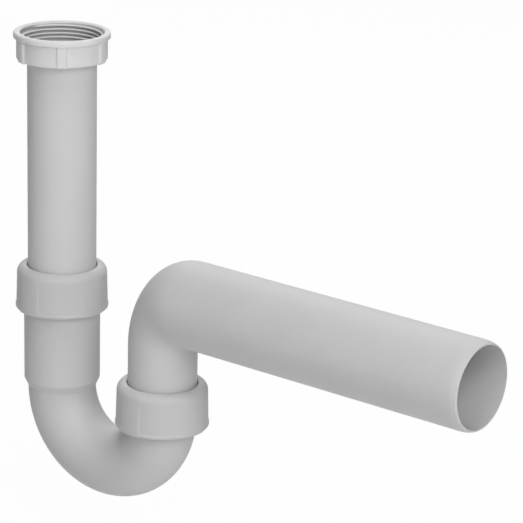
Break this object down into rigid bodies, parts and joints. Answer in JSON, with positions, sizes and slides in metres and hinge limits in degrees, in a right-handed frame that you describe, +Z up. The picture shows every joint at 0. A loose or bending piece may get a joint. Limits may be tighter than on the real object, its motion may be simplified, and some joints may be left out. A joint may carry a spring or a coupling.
{
  "type": "tubular sink trap",
  "caption": "Tubular P-trap: union nut and tail pipe over a return bend that holds the water seal, with slip nuts and a wider horizontal outlet bend.",
  "frame": {"origin": "on the inlet axis, at the gasket face that the waste's threaded tail seals against", "axes": "+Z up out of the inlet, +X from the inlet leg towards the outlet"},
  "size_m": [0.3235, 0.0556, 0.2728],
  "materials": {
    "nut_plastic": "satin",
    "pipe_plastic": "satin",
    "bend_plastic": "satin",
    "ring_plastic": "smooth",
    "seal_rubber": "matte"
  },
  "bodies": {
    "inlet_nut": {"inlet_nut": "nut_plastic"},
    "inlet_gasket": {"inlet_gasket": "seal_rubber"},
    "tail_pipe": {"tail_pipe": "pipe_plastic"},
    "upper_slip_nut": {"upper_slip_nut": "nut_plastic"},
    "upper_slip_washer": {"upper_slip_washer": "ring_plastic"},
    "upper_seal": {"upper_seal": "seal_rubber"},
    "u_bend": {"u_bend": "bend_plastic"},
    "lower_slip_nut": {"lower_slip_nut": "nut_plastic"},
    "lower_slip_washer": {"lower_slip_washer": "ring_plastic"},
    "lower_seal": {"lower_seal": "seal_rubber"},
    "outlet_bend": {"outlet_bend": "bend_plastic"}
  },
  "joints": [
    {"name": "union_nut_slide", "type": "slide", "parent": "inlet_nut", "child": "inlet_gasket", "axis": [0, 0, 1], "range_m": [0, 0.085]},
    {"name": "tail_pipe_swivel", "type": "hinge", "parent": "inlet_gasket", "child": "tail_pipe", "pos_m": [0, 0, 0], "axis": [0, 0, 1], "continuous": true},
    {"name": "height_slide", "type": "slide", "parent": "tail_pipe", "child": "upper_seal", "axis": [0, 0, 1], "range_m": [-0.025, 0.018]},
    {"name": "u_bend_swivel", "type": "hinge", "parent": "upper_seal", "child": "u_bend", "pos_m": [0, 0, 0], "axis": [0, 0, 1], "continuous": true},
    {"name": "upper_nut_rise", "type": "slide", "parent": "u_bend", "child": "upper_slip_washer", "axis": [0, 0, 1], "range_m": [0, 0.00924]},
    {"name": "upper_nut_turn", "type": "hinge", "parent": "upper_slip_washer", "child": "upper_slip_nut", "pos_m": [0, 0, 0], "axis": [0, 0, 1], "range_deg": [0, 1440]},
    {"name": "lower_nut_rise", "type": "slide", "parent": "u_bend", "child": "lower_slip_washer", "axis": [0, 0, 1], "range_m": [0, 0.00924]},
    {"name": "lower_nut_turn", "type": "hinge", "parent": "lower_slip_washer", "child": "lower_slip_nut", "pos_m": [0.0779, 0, 0], "axis": [0, 0, 1], "range_deg": [0, 1440]},
    {"name": "outlet_swivel", "type": "hinge", "parent": "u_bend", "child": "lower_seal", "pos_m": [0.0779, 0, 0], "axis": [0, 0, 1], "range_deg": [-130, 130]},
    {"name": "outlet_slide", "type": "slide", "parent": "lower_seal", "child": "outlet_bend", "axis": [0, 0, 1], "range_m": [-0.002, 0.003]}
  ],
  "couplings": [
    {"joint": "upper_nut_rise", "follows": "upper_nut_turn", "m_per_rad": 0.00036749},
    {"joint": "lower_nut_rise", "follows": "lower_nut_turn", "m_per_rad": 0.00036749}
  ]
}
